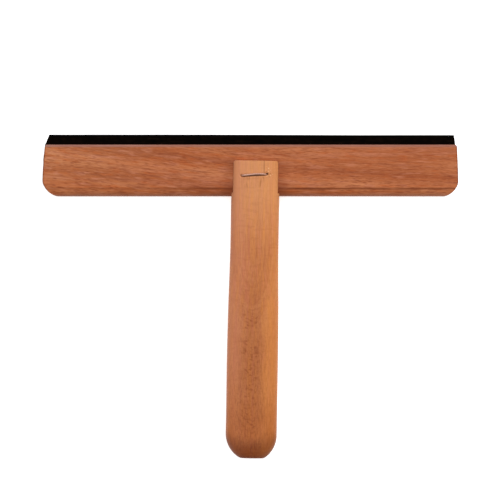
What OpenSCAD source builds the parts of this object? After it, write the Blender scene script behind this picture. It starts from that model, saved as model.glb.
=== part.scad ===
// Window cleaning squeegee in oiled beech: a moulded head bar holding a rubber strip along one edge,
// and a swelling handle let into the front of the bar with a glued and stapled T-halving joint.
// It lies on its back. X runs along the bar, Y towards the wiping edge, Z out of the front face,
// and the origin is the centre of the bar's back face.

/* [Head bar] */
// Length of the bar
bar_len = 300; // [200:5:400]
// Height of the bar, from its lower edge to the edge that holds the rubber
bar_h = 37.2; // [34:0.2:50]
// Thickness of the bar
bar_t = 16; // [14:0.5:17]
// Radius of the lower corners, seen from the front
bar_corner_r = 11; // [4:0.5:13]
// Radius of the moulded round along the lower edge, front and back
bar_round_r = 6.2; // [3:0.1:6.5]
// How far each end leans in towards the wiping edge
end_lean = 1.3; // [0:0.1:3]
// Radius of the small rounds along the other edges
ease_r = 1.6; // [0.5:0.1:2]

/* [Rubber blade] */
// Depth of the groove that holds the rubber
groove_depth = 12; // [8:0.5:13]
// Thickness of the rubber strip
blade_t = 3; // [2:0.1:4]
// How far the rubber stands out of the bar at its middle
blade_reach = 7.1; // [5:0.1:12]
// How much less it stands out at its right end than at its left
blade_skew = 0.8; // [0:0.1:1.5]
// Number of brads that pin the rubber
brad_count = 5; // [3:1:9]

/* [Handle] */
// Overall length of the handle
handle_len = 214.7; // [180:0.1:300]
// Thickness of the handle
handle_t = 20; // [20:0.5:24]
// Width where it leaves the bar
neck_w = 34.5; // [30:0.5:38]
// Width of the swollen grip
grip_w = 36.6; // [34:0.1:42]
// Lean of the handle away from square
handle_lean = 1; // [0:0.1:2]
// Offset of the handle from the middle of the bar
handle_x = 3.8; // [-10:0.1:10]

/* [Joint] */
// Depth of the housing cut into the front of the bar
housing_depth = 5; // [3:0.5:5.5]
// How far the handle's upper end lies beyond the bar's centre line
tongue_reach = 7; // [5:0.5:8]
// Outside width of the staple's crown
crown_w = 19.4; // [12:0.1:24]
// Diameter of the staple's wire
wire_d = 1.3; // [1:0.1:1.6]
// Length of the staple's legs
leg_len = 16; // [12:0.5:17]
// Slope of the staple's crown
staple_slope = 4.8; // [0:0.1:8]

/* [Hidden] */

beech_red = "#B0684A";
beech_pale = "#CD8C5F";
rubber_black = "#161312";
wire_grey = "#9C938B";
glue_amber = "#D9C48A";

fine = 96; // segments of a drawn circle
bar_front = bar_t;
groove_z = bar_t / 2; // middle of the groove in the bar's thickness
overcut = 20; // how far a cutting shape runs past what it cuts

glue_t = 0.15;
housing_floor = bar_t - housing_depth;
tongue_back = housing_floor + glue_t; // back of the tongue, on the glue
tongue_corner_r = 1.8;
shoulder_set = 2.3; // how far the handle's shoulder lies inside the bar's lower edge

tip_len = 17.7; // stretch over which the grip rounds off
tip_side_r = 20;
tip_face_r = 35;
swell_start = 77; // distance from the tip at which the grip has its full width
swell_end = 165; // distance from the tip at which the neck starts
tip_rings = 8;
shank_rings = 12;
ring_points = 40;
neck_bluntness = 3.4; // exponent of the neck's rounded section: 2 is an ellipse, more is squarer
grip_bluntness = 2.8;

// The visible part of the tongue is as wide as the rounded section is at the bar's front face.
proud = (bar_front - handle_t / 2) / (handle_t / 2);
tongue_w = neck_w * pow(1 - pow(proud, neck_bluntness), 1 / neck_bluntness) - 0.16;

brad_d = 1.2;
brad_len = 12.2;
brad_head_d = 2.2;
brad_head_t = 0.5;
brad_sink = 0.3; // how far a head lies below the back face
brad_margin = 30; // from the end brads to the ends of the bar
brad_y = bar_h / 2 - groove_depth / 2;
brad_pitch = (bar_len - 2 * brad_margin) / (brad_count - 1);

staple_x = handle_x - 0.7;
staple_y = -3.6;
staple_sink = 0.45; // how far the crown is pressed into the wood
bend_r = 1.5; // from the bend's centre to the middle of the wire
crown_z = handle_t - staple_sink + wire_d / 2;

blade_left_trim = 3.8; // how far the cut corner of the rubber slopes in, at the left
blade_right_trim = 1;
blade_left_proud = 0.6; // how far the rubber sticks out of the bar's left end

// ---- Shapes that more than one piece uses

// What a round of radius r takes off a square corner, with the corner at the origin and the material in +X +Y.
module corner_waste(r) {
    difference() {
        translate([-1, -1]) square(r + 1);
        translate([r, r]) circle(r, $fn = fine);
    }
}

// Half the bar's length at height y, with the lean of its ends.
function bar_half(y) = bar_len / 2 - end_lean * max(0, y + 3.5) / (bar_h / 2 + 3.5);

// The bar seen from the front.
module bar_outline() {
    top = bar_h / 2;
    difference() {
        polygon([[-bar_half(-top), -top], [bar_half(-top), -top], [bar_half(-3.5), -3.5],
                 [bar_half(top), top], [-bar_half(top), top], [-bar_half(-3.5), -3.5]]);
        for (side = [-1, 1]) {
            mirror([side < 0 ? 1 : 0, 0]) translate([-bar_half(-top), -top]) corner_waste(bar_corner_r);
            mirror([side < 0 ? 1 : 0, 0]) mirror([0, 1]) translate([-bar_half(top), -top]) corner_waste(ease_r);
        }
    }
}

// The bar's moulded section, drawn with Y to the right and Z up.
module bar_section() {
    difference() {
        translate([-bar_h / 2, 0]) square([bar_h, bar_t]);
        translate([-bar_h / 2, 0]) corner_waste(bar_round_r);
        translate([-bar_h / 2, bar_t]) mirror([0, 1]) corner_waste(bar_round_r);
        translate([bar_h / 2, 0]) mirror([1, 0]) corner_waste(ease_r);
        translate([bar_h / 2, bar_t]) rotate(180) corner_waste(ease_r);
    }
}

// The section drawn out along X for the given length.
module bar_moulding(length) {
    rotate([90, 0, 90]) linear_extrude(height = length, center = true) bar_section();
}

// Puts a shape drawn with the handle's axis on Y in its place on the bar.
module on_handle() {
    translate([handle_x, 0, 0]) rotate([0, 0, -handle_lean]) children();
}

// What the handle loses where it meets the bar: the bar's own moulded edge up to the shoulder, and
// everything beyond the shoulder. Y is to the right and Z up, as in the bar's section.
module shoulder_section() {
    bar_section();
    translate([-bar_h / 2 + shoulder_set, -1]) square([bar_h + overcut, handle_t + 3]);
}

// The straight-sided tongue of the halving joint, from the height back to the height front.
module tongue_prism(back, front) {
    translate([0, 0, back]) linear_extrude(height = front - back) difference() {
        translate([-tongue_w / 2, -bar_h]) square([tongue_w, bar_h + tongue_reach]);
        for (side = [0, 1]) {
            mirror([side, 0]) translate([-tongue_w / 2, tongue_reach]) mirror([0, 1]) corner_waste(tongue_corner_r);
        }
    }
}

// The places of the brads along the bar.
module at_brads() {
    for (i = [0 : brad_count - 1]) {
        translate([-bar_len / 2 + brad_margin + i * brad_pitch, brad_y, 0]) children();
    }
}

// One brad: a shank with a point, and a small flat head set just below the bar's back face.
module brad() {
    point = 1.6;
    translate([0, 0, brad_sink]) {
        cylinder(d = brad_head_d, h = brad_head_t, $fn = fine);
        cylinder(d = brad_d, h = brad_len - point, $fn = fine);
        translate([0, 0, brad_len - point]) cylinder(d1 = brad_d, d2 = 0.2, h = point, $fn = fine);
    }
}

// The hole that a brad makes, open to the back face above its sunk head.
module brad_hole() {
    brad();
    translate([0, 0, -1]) cylinder(d = brad_head_d, h = brad_sink + 1.1, $fn = fine);
}

// One leg of the staple with its chisel point, from the end of its bend down.
module staple_leg() {
    point = 1.5;
    shank = leg_len - bend_r - wire_d / 2 - point;
    translate([0, 0, -shank]) cylinder(d = wire_d, h = shank, $fn = fine);
    translate([0, 0, -shank - point]) cylinder(d1 = 0.3, d2 = wire_d, h = point, $fn = fine);
}

// The whole staple in its place: a straight crown, two quarter bends and two legs.
module staple_wire() {
    half = crown_w / 2 - wire_d / 2;
    translate([staple_x, staple_y, crown_z]) rotate([0, 0, staple_slope]) {
        translate([-half + bend_r, 0, 0]) rotate([0, 90, 0]) cylinder(d = wire_d, h = 2 * (half - bend_r), $fn = fine);
        for (side = [0, 1]) {
            mirror([side, 0, 0]) {
                translate([half - bend_r, 0, -bend_r]) rotate([90, 0, 0])
                    rotate_extrude(angle = 90, $fn = fine) translate([bend_r, 0]) circle(d = wire_d, $fn = fine);
                translate([half, 0, -bend_r]) staple_leg();
            }
        }
    }
}

// ---- The handle's rounded form

// 0 at a, 1 at b, with a level start and finish.
function ease(a, b, v) = let (t = min(1, max(0, (v - a) / (b - a)))) t * t * (3 - 2 * t);

// What a round of radius r takes off, d short of its end when it is tip_len long.
function rounding(r, d) = d >= tip_len ? 0 : r - sqrt(r * r - pow(tip_len - d, 2));

// Half width, half thickness and bluntness of the section at distance d from the tip.
function half_w(d) = (grip_w + (neck_w - grip_w) * ease(swell_start, swell_end, d)) / 2 - rounding(tip_side_r, d);
function half_t(d) = handle_t / 2 - rounding(tip_face_r, d);
function bluntness(d) = grip_bluntness + (neck_bluntness - grip_bluntness) * ease(swell_start, swell_end, d);

function signed_pow(v, p) = sign(v) * pow(abs(v), p);

// One ring of points round the section at distance d from the tip.
function section_ring(d) = [
    for (i = [0 : ring_points - 1])
        let (a = 360 * i / ring_points, p = 2 / bluntness(d))
            [half_w(d) * signed_pow(cos(a), p), tongue_reach - handle_len + d,
             handle_t / 2 + half_t(d) * signed_pow(sin(a), p)]
];

ring_places = concat(
    [for (k = [0 : tip_rings - 1]) tip_len * pow(k / tip_rings, 1.6)],
    [for (k = [0 : shank_rings]) tip_len + (handle_len - tip_len) * k / shank_rings]
);

module handle_form() {
    rings = len(ring_places);
    last = (rings - 1) * ring_points;
    polyhedron(
        points = [for (d = ring_places) each section_ring(d)],
        faces = concat(
            [[for (i = [ring_points - 1 : -1 : 0]) i]],
            [[for (i = [0 : ring_points - 1]) last + i]],
            [for (k = [0 : rings - 2], i = [0 : ring_points - 1])
                let (a = k * ring_points + i, b = k * ring_points + (i + 1) % ring_points)
                    [a, b, b + ring_points, a + ring_points]]
        ),
        convexity = 4
    );
}

// ---- The pieces

module head_bar() {
    color(beech_red) difference() {
        intersection() {
            bar_moulding(bar_len + overcut);
            linear_extrude(height = bar_t) bar_outline();
        }
        translate([-bar_len, bar_h / 2 - groove_depth, groove_z - blade_t / 2])
            cube([2 * bar_len, groove_depth + 1, blade_t]);
        on_handle() tongue_prism(housing_floor, bar_front + 1);
        at_brads() brad_hole();
        staple_wire();
    }
}

module rubber_blade() {
    root = bar_h / 2 - groove_depth;
    mouth = bar_h / 2;
    left = -bar_half(root) - blade_left_proud;
    left_mouth = -bar_half(mouth) - blade_left_proud / 2;
    right_mouth = bar_half(mouth) - 0.7;
    color(rubber_black) difference() {
        translate([0, 0, groove_z - blade_t / 2]) linear_extrude(height = blade_t) polygon([
            [left, root],
            [bar_half(root) - 0.7, root],
            [right_mouth, mouth],
            [right_mouth - blade_right_trim * 0.6, mouth + blade_reach - blade_skew / 2 - 0.8],
            [right_mouth - blade_right_trim * 1.5, mouth + blade_reach - blade_skew / 2],
            [left_mouth + blade_left_trim, mouth + blade_reach + blade_skew / 2],
            [left_mouth, mouth]
        ]);
        at_brads() brad();
    }
}

module blade_brads() {
    color(wire_grey) at_brads() brad();
}

module handle() {
    color(beech_pale) difference() {
        on_handle() handle_form();
        difference() {
            rotate([90, 0, 90]) linear_extrude(height = 3 * neck_w, center = true) shoulder_section();
            on_handle() tongue_prism(tongue_back, handle_t + 4);
        }
        staple_wire();
    }
}

module glue_film() {
    color(glue_amber) difference() {
        intersection() {
            on_handle() tongue_prism(housing_floor, tongue_back);
            translate([-bar_len / 2, -bar_h / 2, 0]) cube([bar_len, bar_h, bar_t]);
        }
        staple_wire();
    }
}

module crown_staple() {
    color(wire_grey) staple_wire();
}

head_bar();
rubber_blade();
blade_brads();
handle();
glue_film();
crown_staple();
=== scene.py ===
import math
import bpy
import bmesh
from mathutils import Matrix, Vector, noise


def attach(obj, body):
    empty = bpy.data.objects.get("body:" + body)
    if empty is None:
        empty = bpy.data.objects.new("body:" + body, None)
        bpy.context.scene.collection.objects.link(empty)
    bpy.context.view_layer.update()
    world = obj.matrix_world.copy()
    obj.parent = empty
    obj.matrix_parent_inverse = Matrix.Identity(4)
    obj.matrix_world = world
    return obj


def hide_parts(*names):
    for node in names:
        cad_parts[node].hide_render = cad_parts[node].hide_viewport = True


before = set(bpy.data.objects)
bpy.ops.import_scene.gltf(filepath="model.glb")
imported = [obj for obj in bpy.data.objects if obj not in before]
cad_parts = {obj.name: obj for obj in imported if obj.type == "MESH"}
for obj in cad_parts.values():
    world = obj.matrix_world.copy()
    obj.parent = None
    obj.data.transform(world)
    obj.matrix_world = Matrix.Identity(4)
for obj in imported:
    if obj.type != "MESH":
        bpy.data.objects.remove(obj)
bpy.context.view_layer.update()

mm = 0.001
weldGap = 0.002  # points nearer than this are one


# Making meshes. Sizes are in millimetres until newPiece turns them into metres.

def smoothStep(low, high, value):
    t = min(1.0, max(0.0, (value - low) / (high - low)))
    return t * t * (3 - 2 * t)


def lerp(a, b, t):
    return a + (b - a) * t


def fallOff(distance, radius):  # what a round of that radius takes off, this far in from its edge
    if distance >= radius:
        return 0.0
    return radius - math.sqrt(max(0.0, radius ** 2 - (radius - distance) ** 2))


def bell(distance, width):  # 1 in the middle, less and less on both sides
    return math.exp(-(distance / width) ** 2)


def wander(x, y, z, seed):  # smooth noise from -1 to 1
    return noise.noise(Vector((x + 17.3 * seed, y - 9.1 * seed, z + 4.7 * seed)))


def arc(centreX, centreY, radius, degrees):
    turns = [math.radians(a) for a in degrees]
    return [(centreX + radius * math.cos(a), centreY + radius * math.sin(a)) for a in turns]


def steps(*runs):  # places along a line: (start, end, step) for each run, each end shared with the next start
    places = []
    for start, end, step in runs:
        count = max(1, round(abs(end - start) / step))
        places += [lerp(start, end, i / count) for i in range(count)]
    return places + [runs[-1][1]]


def newPiece(name, points, faces, creaseAngle=34.0):
    mesh = bpy.data.meshes.new(name)
    mesh.from_pydata([(x * mm, y * mm, z * mm) for x, y, z in points], [], faces)
    piece = bpy.data.objects.new(name, mesh)
    bpy.context.scene.collection.objects.link(piece)
    closeUp(piece, creaseAngle)
    return piece


def closeUp(piece, creaseAngle=34.0):  # welds doubled points, turns the faces outwards and shades them
    work = bmesh.new()
    work.from_mesh(piece.data)
    bmesh.ops.remove_doubles(work, verts=work.verts, dist=weldGap * mm)
    bmesh.ops.dissolve_degenerate(work, edges=work.edges, dist=weldGap / 2 * mm)
    bmesh.ops.recalc_face_normals(work, faces=work.faces)
    work.to_mesh(piece.data)
    work.free()
    piece.data.shade_smooth()
    piece.data.set_sharp_from_angle(angle=math.radians(creaseAngle))


def skin(rings, capped=True):  # joins rings of points into a tube, with flat ends
    count = len(rings[0])
    points = [p for ring in rings for p in ring]
    faces = []
    for k in range(len(rings) - 1):
        for i in range(count):
            j = (i + 1) % count
            a, b = k * count, (k + 1) * count
            faces.append((a + i, a + j, b + j, b + i))
    if capped:
        faces.append(tuple(reversed(range(count))))
        faces.append(tuple(range((len(rings) - 1) * count, len(rings) * count)))
    return points, faces


def prism(outline, low, high):  # an outline in X and Y, drawn up from one height to another
    return skin([[(x, y, z) for x, y in outline] for z in (low, high)])


def plainMesh(piece):  # bakes what the modifiers make into the piece's own mesh
    mesh = bpy.data.meshes.new_from_object(piece.evaluated_get(bpy.context.evaluated_depsgraph_get()))
    piece.modifiers.clear()
    piece.data = mesh
    mesh.name = piece.name


def carve(piece, cutter):  # cuts one closed mesh out of another, and drops the cutter
    cut = piece.modifiers.new("carve", "BOOLEAN")
    cut.operation = "DIFFERENCE"
    cut.solver = "EXACT"
    cut.object = cutter
    plainMesh(piece)
    bpy.data.objects.remove(cutter)
    closeUp(piece)


# Making finishes. Colours are given as they're seen, and places in millimetres.

class Strand:  # one output of a shader node, so that shader sums can be written as Python
    def __init__(self, tree, socket):
        self.tree = tree
        self.socket = socket

    def node(self, kind, settings=None, sockets=None, out=0):
        made = self.tree.nodes.new(kind)
        for name, value in (settings or {}).items():
            if name == "stops":
                setStops(made.color_ramp, value)
            else:
                setattr(made, name, value)
        for name, value in (sockets or {}).items():
            if isinstance(value, Strand):
                self.tree.links.new(value.socket, made.inputs[name])
            else:
                made.inputs[name].default_value = value
        return Strand(self.tree, made.outputs[out])

    def maths(self, operation, first, second=0.0):
        return self.node("ShaderNodeMath", {"operation": operation}, {0: first, 1: second})

    def __add__(self, other):
        return self.maths("ADD", self, other)

    def __radd__(self, other):
        return self.maths("ADD", other, self)

    def __sub__(self, other):
        return self.maths("SUBTRACT", self, other)

    def __rsub__(self, other):
        return self.maths("SUBTRACT", other, self)

    def __mul__(self, other):
        return self.maths("MULTIPLY", self, other)

    def __rmul__(self, other):
        return self.maths("MULTIPLY", other, self)

    def __truediv__(self, other):
        return self.maths("DIVIDE", self, other)

    def __pow__(self, other):
        return self.maths("POWER", self, other)

    def __abs__(self):
        return self.maths("ABSOLUTE", self)

    def atMost(self, other):
        return self.maths("MINIMUM", self, other)

    def atLeast(self, other):
        return self.maths("MAXIMUM", self, other)

    def rise(self, low, high):  # 0 below low and 1 above high, smooth between; low may be the larger
        if low > high:
            return 1 - self.rise(high, low)
        return self.node("ShaderNodeMapRange", {"interpolation_type": "SMOOTHSTEP"},
                         {"Value": self, "From Min": low, "From Max": high})

    def split(self):
        return [self.node("ShaderNodeSeparateXYZ", None, {0: self}, out=i) for i in range(3)]

    def joined(self, x, y, z):  # a vector from three numbers
        return self.node("ShaderNodeCombineXYZ", None, {0: x, 1: y, 2: z})

    def grainNoise(self, scale, detail=2.0, rough=0.5):
        return self.node("ShaderNodeTexNoise", None,
                         {"Vector": self, "Scale": scale, "Detail": detail, "Roughness": rough})

    def cells(self, out=0):
        return self.node("ShaderNodeTexVoronoi", {"feature": "F1"}, {"Vector": self, "Scale": 1.0}, out=out)

    def ramp(self, *stops):
        return self.node("ShaderNodeValToRGB", {"stops": stops}, {"Fac": self})

    def tint(self, colour, amount, blend="MIX"):  # mixes a colour into this one
        return self.node("ShaderNodeMix", {"data_type": "RGBA", "blend_type": blend, "clamp_factor": True},
                         {0: amount, 6: self, 7: (*colour, 1.0)}, out=2)

    def coat(self, paint, mask, blend="MIX"):  # paint is a colour and how strongly it goes on
        return self.tint(paint[0], mask * paint[1], blend)


def setStops(ramp, stops):
    while len(ramp.elements) > 1:
        ramp.elements.remove(ramp.elements[0])
    for i, (at, colour) in enumerate(stops):
        stop = ramp.elements[0] if i == 0 else ramp.elements.new(at)
        stop.position = at
        stop.color = (*colour, 1.0)


def shade(*seen):  # a colour as it's seen, 0 to 255, in the linear numbers that a shader wants
    return tuple((c / 255 / 12.92) if c <= 10 else ((c / 255 + 0.055) / 1.055) ** 2.4 for c in seen)


def stretched(strands, sizes):  # a place counted in steps of these sizes
    return strands[0].joined(*[strand * (1 / size) for strand, size in zip(strands, sizes)])


def patches(strands, sizes, detail=2.0, rough=0.5):  # noise in patches of about these sizes
    return stretched(strands, sizes).grainNoise(1.0, detail, rough)


def newFinish(name, **constants):  # a material, its place in millimetres, and its shader
    material = bpy.data.materials.new(name)
    material.use_nodes = True
    tree = material.node_tree
    shader = tree.nodes["Principled BSDF"]
    for socket, value in constants.items():
        shader.inputs[socket.replace("_", " ")].default_value = value
    coords = Strand(tree, tree.nodes.new("ShaderNodeTexCoord").outputs["Object"])
    place = coords.node("ShaderNodeVectorMath", {"operation": "SCALE"}, {0: coords, "Scale": 1 / mm})
    return material, place, shader


def feed(shader, **links):
    for socket, strand in links.items():
        strand.tree.links.new(strand.socket, shader.inputs[socket.replace("_", " ")])


def emboss(height, strength, depth):  # a bump from a height of 0 to 1, with its depth in millimetres
    return height.node("ShaderNodeBump", None,
                       {"Strength": strength, "Distance": depth * mm, "Height": height})


barSize = {
    "length": 300.0, "height": 37.2, "thick": 16.0,
    "mouldRound": 6.2, "mouldDrop": 6.0,  # round along the lower edge, and how far it falls back
    "mouldTurns": range(0, 85, 6),
    "quirk": 0.16, "quirkLow": 0.4, "quirkHigh": 0.1,  # step where the round meets the face, and its reach
    "quirkSpots": (-0.35, -0.08, 0.02, 0.16, 0.4),
    "faceStep": 0.95, "faceFrom": 1.1, "faceTo": 2.2,
    "topEase": 1.7, "easeSpots": (1.0, 0.8, 0.62, 0.46, 0.31, 0.18, 0.08, 0.02, 0.0), "endEase": 1.5,
    "leftLean": 1.8, "rightLean": 1.0, "leanPower": 1.5, "leanReach": 60.0,  # the ends bow in at the top
    "topCorner": 1.7, "topCornerReach": 12.0,  # round of the corners beside the rubber
    "leftCorner": 10.7, "rightCorner": 10.0, "cornerPower": 1.6,
    "endSpots": (0.0, 0.04, 0.12, 0.24, 0.4, 0.6, 0.85, 1.15, 1.5, 2.0, 2.6, 3.4),
    "cornerRun": (4.2, 14.0, 0.8), "middleStep": 1.7,
    "topRungs": 8, "lowRungs": 4,  # faces across the upper and lower edges
    "slotDepth": 12.0, "slotLow": 6.5, "slotHigh": 9.5, "slotPast": 9.0,
    "housingFloor": 11.0, "housingPlay": 0.05, "housingPast": 6.0,
    "unevenness": 0.09, "unevenLength": 38.0, "unevenWidth": 16.0, "unevenFrom": 4.0, "seed": 1,
}

handleSize = {
    "top": 7.0, "length": 214.8, "thick": 20.0, "neckWidth": 34.8, "gripWidth": 37.0,
    "lean": 1.0, "offset": 3.9,
    "swellStart": 77.0, "swellEnd": 165.0,  # from the tip
    "tipLeft": (17.7, 20.0), "tipRight": (16.5, 19.7),  # how far up each side's round starts, and its radius
    "tipFaceLength": 15.0, "tipFaceDrop": 5.2, "tipFacePower": 2.2,
    "tipRound": 0.9, "tipRoundSide": 0.5, "tipRoundFace": 0.8,
    "neckPower": 3.4, "gripPower": 2.8,  # squareness of the rounded section
    "tongueWidth": 32.4, "tongueBack": 11.16, "shoulder": -16.3,
    "tongueCorner": 1.9, "tongueEase": 0.7, "tongueEaseDepth": 6.0,
    "aroundCount": 184, "aroundTurn": 0.75, "frontWeight": 1.7, "frontFrom": 0.45,
    "tipSpots": (0.0, 0.15, 0.45, 0.9, 1.5, 2.2), "tipStep": 1.0, "tipRun": (3.0, 20.0),
    "gripStep": 1.5, "neckStart": -22.0, "neckStep": 0.7,
    "shoulderSpots": (-0.12, -0.02, 0.02, 0.3), "tongueStart": -13.0, "lowStep": 0.8, "tongueStep": 0.36,
    "topSpots": (1.6, 1.3, 1.0, 0.75, 0.5, 0.3, 0.15, 0.05, 0.0),
    "marksFrom": 5.5, "marksTo": 8.5,  # heights above the middle where the staple's marks fade in
    "unevenness": 0.1, "unevenFade": 12.0, "unevenWidth": 9.0, "unevenLength": 34.0, "seed": 3,
}

stapleSize = {
    "wire": 1.3, "crown": 18.5, "leg": 16.0, "bend": 1.5, "slope": 2.9,
    "x": 2.7, "y": -3.4, "height": 20.18, "bow": 0.6,
    "sink": 0.1,  # how far the middle of the crown is hammered in
    "wideness": 1.04, "flatness": 0.93,  # of the hammered crown
    "turnStep": 15, "crownStep": 0.7, "legStep": 2.0, "footStep": 1.5, "pointed": 0.25,
    "swing": 0.1, "swingRate": 0.45, "rub": 0.03, "rubRate": 1.3, "seed": 21,
}

stapleMarks = {  # how the staple has pressed the face of the handle: depths, then shifts and widths
    "reach": (24.0, 16.0), "crownEnds": (-0.6, 0.5),
    "trough": -0.5, "troughAt": -0.25, "troughWidth": 0.95,
    "lip": 0.12, "lipAt": 1.9, "lipWidth": 0.7,
    "rightPit": -1.1, "rightPitAt": (-0.1, -0.1), "rightPitSize": (0.8, 0.75),
    "leftPit": -0.55, "leftPitAt": (0.0, -0.2), "leftPitSize": (0.8, 0.7),
    "bruise": -0.16, "bruiseAt": (12.2, 2.4), "bruiseLong": (5.5, 1.5), "bruiseWide": (6.5, 2.0),
    "bruiseGrain": (1.3, 1.5), "bruiseBias": 0.15, "bruiseSeed": 5,
    "dents": -0.07, "dentsFrom": (-1.2, -3.0), "dentsTo": (-12.5, -7.0), "dentGrain": (0.55, 3.2),
    "dentSeed": 8,
    "split": -0.22, "splitAt": -1.6, "splitWave": 0.12, "splitWidth": 0.28, "splitFrom": (-0.5, 1.0),
}


def onHandle(x, y):  # from the handle's own axis to its place on the bar
    turn = math.radians(-handleSize["lean"])
    return (x * math.cos(turn) - y * math.sin(turn) + handleSize["offset"],
            x * math.sin(turn) + y * math.cos(turn))


def barLevels():  # heights up the bar where its faces are divided
    size = barSize
    low, high = -size["height"] / 2, size["height"] / 2
    quirkAt = low + size["mouldRound"]
    levels = [low + size["mouldRound"] * (1 - math.cos(math.radians(a))) for a in size["mouldTurns"]]
    levels += [quirkAt + spot for spot in size["quirkSpots"]]
    levels += steps((quirkAt + size["faceFrom"], high - size["faceTo"], size["faceStep"]))
    return levels + [high - size["topEase"] * spot for spot in size["easeSpots"]]


def mouldFall(y):  # how far the face falls back over the lower round and the step above it
    size = barSize
    quirkAt = size["mouldRound"] - size["height"] / 2
    if y > quirkAt + size["quirkHigh"]:
        return 0.0
    step = size["quirk"] * (1 - smoothStep(quirkAt - size["quirkLow"], quirkAt + size["quirkHigh"], y))
    reach = min(1.0, max(0.0, (quirkAt - y) / size["mouldRound"]))
    return step + size["mouldDrop"] * (1 - math.sqrt(1 - reach ** 2))


def barStation(side, inset, levels):  # a ring of points round the bar, this far in from one end
    size = barSize
    half, low, high = size["length"] / 2, -size["height"] / 2, size["height"] / 2
    corner = size["leftCorner"] if side < 0 else size["rightCorner"]
    lean = size["leftLean"] if side < 0 else size["rightLean"]
    power = size["cornerPower"]
    floor = low
    if inset < corner:
        floor += corner * (1 - (1 - (1 - inset / corner) ** power) ** (1 / power))
    front, back = [], []
    for level in levels:
        y = floor + (high - floor) * (level - low) / (high - low)
        edge = inset
        if inset < corner and y - low < corner:
            away = ((1 - inset / corner) ** power + (1 - (y - low) / corner) ** power) ** (1 / power)
            edge = min(edge, max(0.0, (1 - away) * corner))
        drop = max(mouldFall(y), fallOff(edge, size["endEase"]), fallOff(high - y, size["topEase"]))
        upEnd = max(0.0, (y - low - corner) / (high - low - corner))
        tilt = lean * upEnd ** size["leanPower"] * (1 - smoothStep(0, size["leanReach"], inset))
        tilt += fallOff(high - y, size["topCorner"]) * (1 - smoothStep(0, size["topCornerReach"], inset))
        x = side * (half - inset - tilt)
        hollow = wander(x / size["unevenLength"], y / size["unevenWidth"], 0.5, size["seed"])
        hollow *= size["unevenness"] * smoothStep(0, size["unevenFrom"], inset)
        front.append((x, y, size["thick"] - drop + min(0.0, hollow)))
        back.append((x, y, drop))
    upperEdge = [(front[-1][0], high, lerp(front[-1][2], back[-1][2], t / size["topRungs"]))
                 for t in range(1, size["topRungs"])]
    lowerEdge = [(back[0][0], floor, lerp(back[0][2], front[0][2], t / size["lowRungs"]))
                 for t in range(1, size["lowRungs"])]
    return front + upperEdge + back[::-1] + lowerEdge


def endLadder(start, rungs, count):  # closes an end with faces from front to back, so that it can bow
    lastBack = start + 2 * rungs + barSize["topRungs"] - 2
    fronts = [start + i for i in range(rungs)]
    backs = [lastBack - i for i in range(rungs)]
    faces = [(fronts[i], fronts[i + 1], backs[i + 1], backs[i]) for i in range(1, rungs - 2)]
    faces.append((fronts[0], fronts[1], backs[1], backs[0], *range(backs[0] + 1, start + count)))
    faces.append((fronts[-2], fronts[-1], *range(fronts[-1] + 1, backs[-1]), backs[-1], backs[-2]))
    return faces


def cutSlot(bar):  # the groove that holds the rubber
    size = barSize
    high = size["height"] / 2
    endX, topY = size["length"] / 2 + size["slotPast"], high + size["slotPast"]
    floorY = high - size["slotDepth"]
    outline = [(-endX, floorY), (endX, floorY), (endX, topY), (-endX, topY)]
    carve(bar, newPiece("slotCutter", *prism(outline, size["slotLow"], size["slotHigh"])))


def cutHousing(bar):  # the recess that the handle's tongue lies in
    size = barSize
    wide = handleSize["tongueWidth"] / 2 + size["housingPlay"]
    top = handleSize["top"] + size["housingPlay"]
    corner = handleSize["tongueCorner"]
    startY = -size["height"] / 2 - size["housingPast"]
    outline = [(-wide, startY), (wide, startY)]
    outline += arc(wide - corner, top - corner, corner, range(0, 91, 10))
    outline += arc(corner - wide, top - corner, corner, range(90, 181, 10))
    placed = [onHandle(x, y) for x, y in outline]
    cutter = prism(placed, size["housingFloor"], size["thick"] + size["housingPast"])
    carve(bar, newPiece("housingCutter", *cutter))


def cutBradHoles(bar):  # the recesses that the brads' heads lie in
    size = bradSize
    for i in range(size["count"]):
        outline = arc(size["firstX"] + i * size["pitch"], size["y"], size["hole"], range(0, 360, 12))
        cutter = prism(outline, -size["holePast"], size["sink"] + size["headThick"])
        carve(bar, newPiece("bradCutter", *cutter))


def makeBar():
    size = barSize
    levels = barLevels()
    insets = list(size["endSpots"])
    insets += steps(size["cornerRun"], (size["cornerRun"][1], size["length"] / 2, size["middleStep"]))
    rings = [barStation(-1, inset, levels) for inset in insets]
    rings += [barStation(1, inset, levels) for inset in reversed(insets[:-1])]
    points, faces = skin(rings, capped=False)
    count = len(rings[0])
    faces += endLadder(0, len(levels), count)
    faces += endLadder((len(rings) - 1) * count, len(levels), count)
    bar = newPiece("head_bar_wood", points, faces)
    cutSlot(bar)
    cutHousing(bar)
    cutBradHoles(bar)
    return bar


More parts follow.
